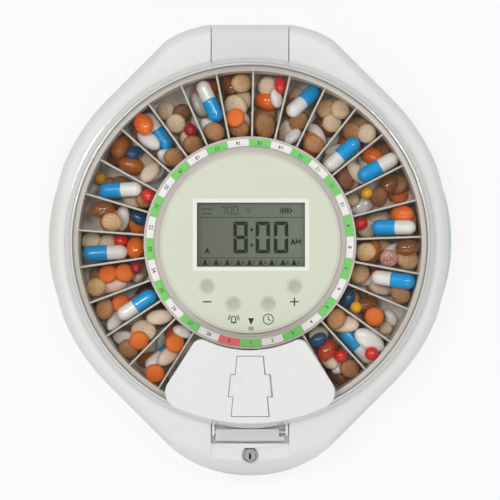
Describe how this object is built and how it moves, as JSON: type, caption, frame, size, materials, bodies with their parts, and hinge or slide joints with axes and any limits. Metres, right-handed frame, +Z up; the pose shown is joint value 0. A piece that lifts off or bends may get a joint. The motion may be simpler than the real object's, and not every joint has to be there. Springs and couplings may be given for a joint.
{
  "type": "automatic pill dispenser",
  "caption": "Round automatic pill dispenser: a motor turns a tray of dose compartments under a hinged, lockable clear lid with a small dispensing door, around a display with buttons.",
  "frame": {"origin": "under the middle of the casing's outline, on the surface that the feet stand on", "axes": "+Z up, +Y from the lock in front towards the lid's hinge at the rear, +X to the right seen from the front"},
  "size_m": [0.1972, 0.2178, 0.061],
  "materials": {
    "casing_white": "satin moulded ABS",
    "tub_green": "satin moulded ABS, pale green",
    "tray_beige": "moulded, fine satin",
    "lid_clear": "clear polycarbonate",
    "latch_clear": "frosted polycarbonate",
    "window_clear": "clear acrylic",
    "console_grey": "moulded, warm grey",
    "overlay_sage": "printed polyester film",
    "button_grey": "soft-touch keys",
    "lcd_grey": "display glass",
    "frame_black": "moulded black plastic",
    "label_green": "printed label",
    "label_white": "printed label",
    "label_red": "printed label",
    "steel": "bright steel",
    "lock_chrome": "nickel plated die casting",
    "gear_white": "acetal",
    "brass": "turned brass",
    "pcb_green": "solder mask",
    "rubber_grey": "moulded rubber",
    "cell_jacket": "plain cell jacket"
  },
  "bodies": {
    "base": {"lower_housing": "tub_green", "upper_housing": "casing_white", "rubber_feet": "rubber_grey", "housing_screws": "steel", "tray_well": "casing_white", "battery_box": "casing_white", "batteries": "cell_jacket", "battery_springs": "steel", "battery_contacts": "steel", "battery_door_pins": "steel", "gear_axles": "steel", "gear_plate": "frame_black", "motor_plate": "frame_black", "motor": "steel", "main_pcb": "pcb_green", "tact_switches": "frame_black", "buzzer": "frame_black", "index_switch": "frame_black", "lcd_panel": "lcd_grey", "display_frame": "frame_black", "lcd_connector": "rubber_grey", "display_window": "window_clear", "console_housing": "console_grey", "console_overlay": "overlay_sage", "console_screws": "steel", "lid_hinge_pins": "steel", "lock_body": "lock_chrome", "lock_nut": "lock_chrome"},
    "tray": {"tray_floor": "tray_beige", "tray_outer_wall": "tray_beige", "tray_inner_wall": "tray_beige", "tray_ring_gear": "tray_beige", "tray_dividers": "tray_beige", "dosage_ring": "label_white", "dosage_labels_green": "label_green", "dosage_labels_white": "label_white", "dosage_label_red": "label_red"},
    "drive_gear": {"drive_gear": "gear_white"},
    "reduction_gear": {"reduction_gear": "gear_white"},
    "motor_pinion": {"motor_pinion": "brass"},
    "battery_door": {"battery_door": "tub_green"},
    "lid": {"clear_lid": "lid_clear", "dispensing_plate": "casing_white", "door_hinge_pin": "steel", "latch_pin": "steel", "latch_spring": "steel"},
    "dispensing_door": {"dispensing_door": "casing_white"},
    "lid_latch": {"lid_latch": "latch_clear"},
    "lock_plug": {"lock_plug": "lock_chrome", "lock_cam": "steel", "lock_cam_screw": "steel"},
    "button_minus": {"button_minus": "button_grey"},
    "button_alarm": {"button_alarm": "button_grey"},
    "button_clock": {"button_clock": "button_grey"},
    "button_plus": {"button_plus": "button_grey"}
  },
  "joints": [
    {"name": "tray_spin", "type": "hinge", "parent": "base", "child": "tray", "pos_m": [0, 0.00395, 0.018], "axis": [0, 0, 1], "continuous": true},
    {"name": "drive_gear_spin", "type": "hinge", "parent": "base", "child": "drive_gear", "pos_m": [0, 0.03895, 0.024], "axis": [0, 0, 1], "continuous": true},
    {"name": "reduction_gear_spin", "type": "hinge", "parent": "base", "child": "reduction_gear", "pos_m": [0, 0.02295, 0.024], "axis": [0, 0, 1], "continuous": true},
    {"name": "motor_pinion_spin", "type": "hinge", "parent": "base", "child": "motor_pinion", "pos_m": [-0.02079, 0.01095, 0.03], "axis": [0, 0, 1], "continuous": true},
    {"name": "lid_hinge", "type": "hinge", "parent": "base", "child": "lid", "pos_m": [0, 0.10295, 0.04], "axis": [-1, 0, 0], "range_deg": [0, 100]},
    {"name": "dispensing_door_hinge", "type": "hinge", "parent": "lid", "child": "dispensing_door", "pos_m": [0.00885, -0.06355, 0.06], "axis": [-0.0971, 0.9953, 0], "range_deg": [0, 105]},
    {"name": "lid_latch_pivot", "type": "hinge", "parent": "lid", "child": "lid_latch", "pos_m": [0, -0.08685, 0.043], "axis": [-1, 0, 0], "range_deg": [0, 12], "stiffness_Nm_per_rad": 0.02, "springref_deg": -5.73},
    {"name": "key_lock_turn", "type": "hinge", "parent": "base", "child": "lock_plug", "pos_m": [0, -0.09835, 0.04458], "axis": [0, -0.4226, 0.9063], "range_deg": [0, 90]},
    {"name": "battery_door_hinge", "type": "hinge", "parent": "base", "child": "battery_door", "pos_m": [0, -0.02225, 0.0031], "axis": [-1, 0, 0], "range_deg": [0, 100]},
    {"name": "button_minus_press", "type": "slide", "parent": "base", "child": "button_minus", "axis": [0, 0, -1], "range_m": [0, 0.0007], "stiffness_N_per_m": 600, "springref_m": -0.0002},
    {"name": "button_alarm_press", "type": "slide", "parent": "base", "child": "button_alarm", "axis": [0, 0, -1], "range_m": [0, 0.0007], "stiffness_N_per_m": 600, "springref_m": -0.0002},
    {"name": "button_clock_press", "type": "slide", "parent": "base", "child": "button_clock", "axis": [0, 0, -1], "range_m": [0, 0.0007], "stiffness_N_per_m": 600, "springref_m": -0.0002},
    {"name": "button_plus_press", "type": "slide", "parent": "base", "child": "button_plus", "axis": [0, 0, -1], "range_m": [0, 0.0007], "stiffness_N_per_m": 600, "springref_m": -0.0002}
  ],
  "couplings": [
    {"joint": "drive_gear_spin", "follows": "tray_spin", "ratio": 4.5},
    {"joint": "reduction_gear_spin", "follows": "tray_spin", "ratio": -7.5},
    {"joint": "motor_pinion_spin", "follows": "tray_spin", "ratio": 22.5}
  ]
}
